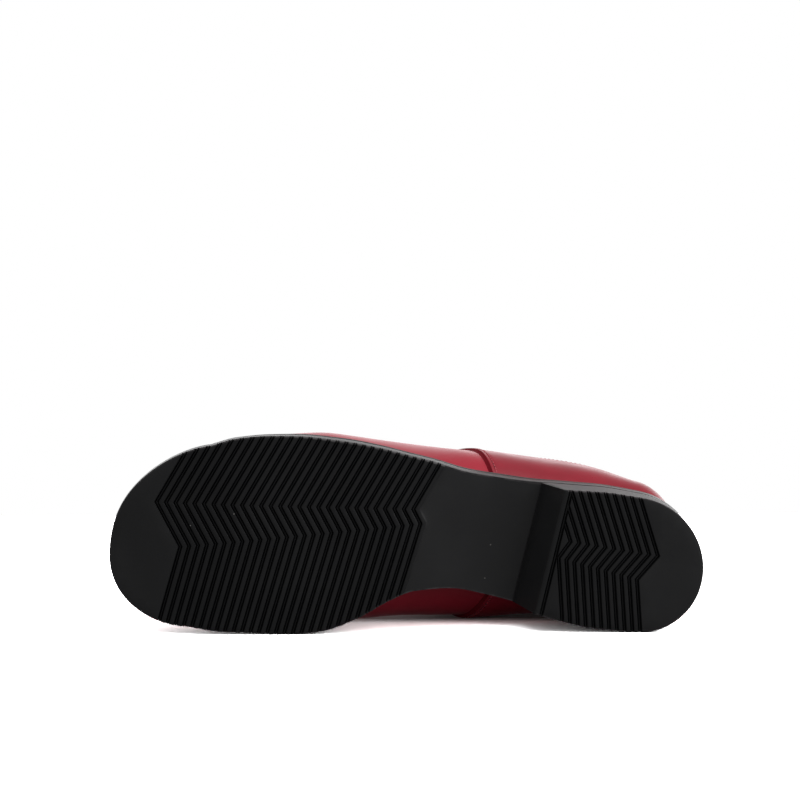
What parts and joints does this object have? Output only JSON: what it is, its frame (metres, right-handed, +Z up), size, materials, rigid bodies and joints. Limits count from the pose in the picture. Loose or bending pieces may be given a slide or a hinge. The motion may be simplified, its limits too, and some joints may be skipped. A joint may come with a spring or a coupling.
{
  "type": "derby shoe",
  "caption": "Low leather lace-up derby shoe for the left foot, open-laced quarters over a plain vamp, zigzag-cut rubber sole and low block heel, lying on its inner side.",
  "frame": {"origin": "centre of the base of the shoe's box, on the floor that it lies on", "axes": "+Z up from the floor, the toe towards -X, the sole towards -Y, the outer side of the foot up"},
  "size_m": [0.2652, 0.102, 0.0894],
  "materials": {
    "sole_rubber": "satin black moulded rubber",
    "upper_leather": "glossy red smooth leather",
    "lining_leather": "matt lining leather",
    "lace_cotton": "waxed round cord"
  },
  "bodies": {
    "root": {"outsole": "sole_rubber", "heel": "sole_rubber", "upper": "upper_leather", "tongue": "upper_leather", "insole": "lining_leather", "lace_bar_1": "lace_cotton", "lace_bar_2": "lace_cotton", "lace_bar_3": "lace_cotton", "lace_bar_4": "lace_cotton"}
  },
  "joints": []
}
